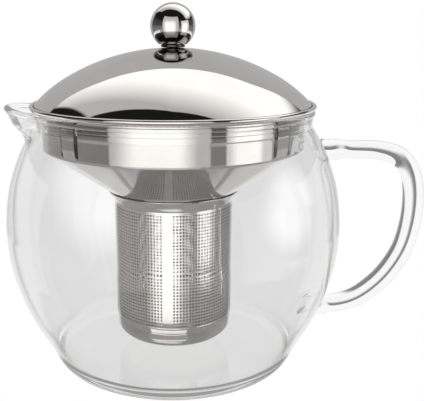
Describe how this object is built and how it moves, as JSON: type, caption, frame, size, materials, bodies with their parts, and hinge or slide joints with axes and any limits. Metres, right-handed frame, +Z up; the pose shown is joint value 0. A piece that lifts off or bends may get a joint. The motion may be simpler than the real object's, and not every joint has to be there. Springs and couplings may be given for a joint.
{
  "type": "glass teapot",
  "caption": "Round blown-glass teapot with a fused glass handle, a lift-out steel infuser with a perforated basket, and a domed steel lid with a ball knob.",
  "frame": {"origin": "centre of the flat base that the jug rests on", "axes": "+Z up along the jug's axis, +X towards the handle, -X towards the spout, +Y to complete a right-handed frame"},
  "size_m": [0.1909, 0.15, 0.1589],
  "materials": {
    "borosilicate_glass": "clear, fire polished",
    "polished_steel": "mirror polished stainless steel",
    "satin_steel": "satin stainless steel with fine turning lines",
    "perforated_steel": "satin stainless steel sheet with fine round holes",
    "zinc_steel": "zinc plated",
    "silicone": "matte translucent silicone"
  },
  "bodies": {
    "jug": {"glass_body": "borosilicate_glass", "handle": "borosilicate_glass"},
    "infuser": {"infuser_bowl": "satin_steel", "basket_ring": "polished_steel", "basket_sleeve": "perforated_steel", "basket_cup": "satin_steel"},
    "lid": {"lid_dome": "polished_steel", "lid_skirt": "satin_steel", "knob_bead": "polished_steel", "knob_ball": "polished_steel", "knob_washer": "silicone", "knob_screw": "zinc_steel"}
  },
  "joints": [
    {"name": "infuser_lift", "type": "slide", "parent": "jug", "child": "infuser", "axis": [0, 0, 1], "range_m": [0, 0.12]},
    {"name": "lid_lift", "type": "slide", "parent": "infuser", "child": "lid", "axis": [0, 0, 1], "range_m": [0, 0.06]}
  ]
}
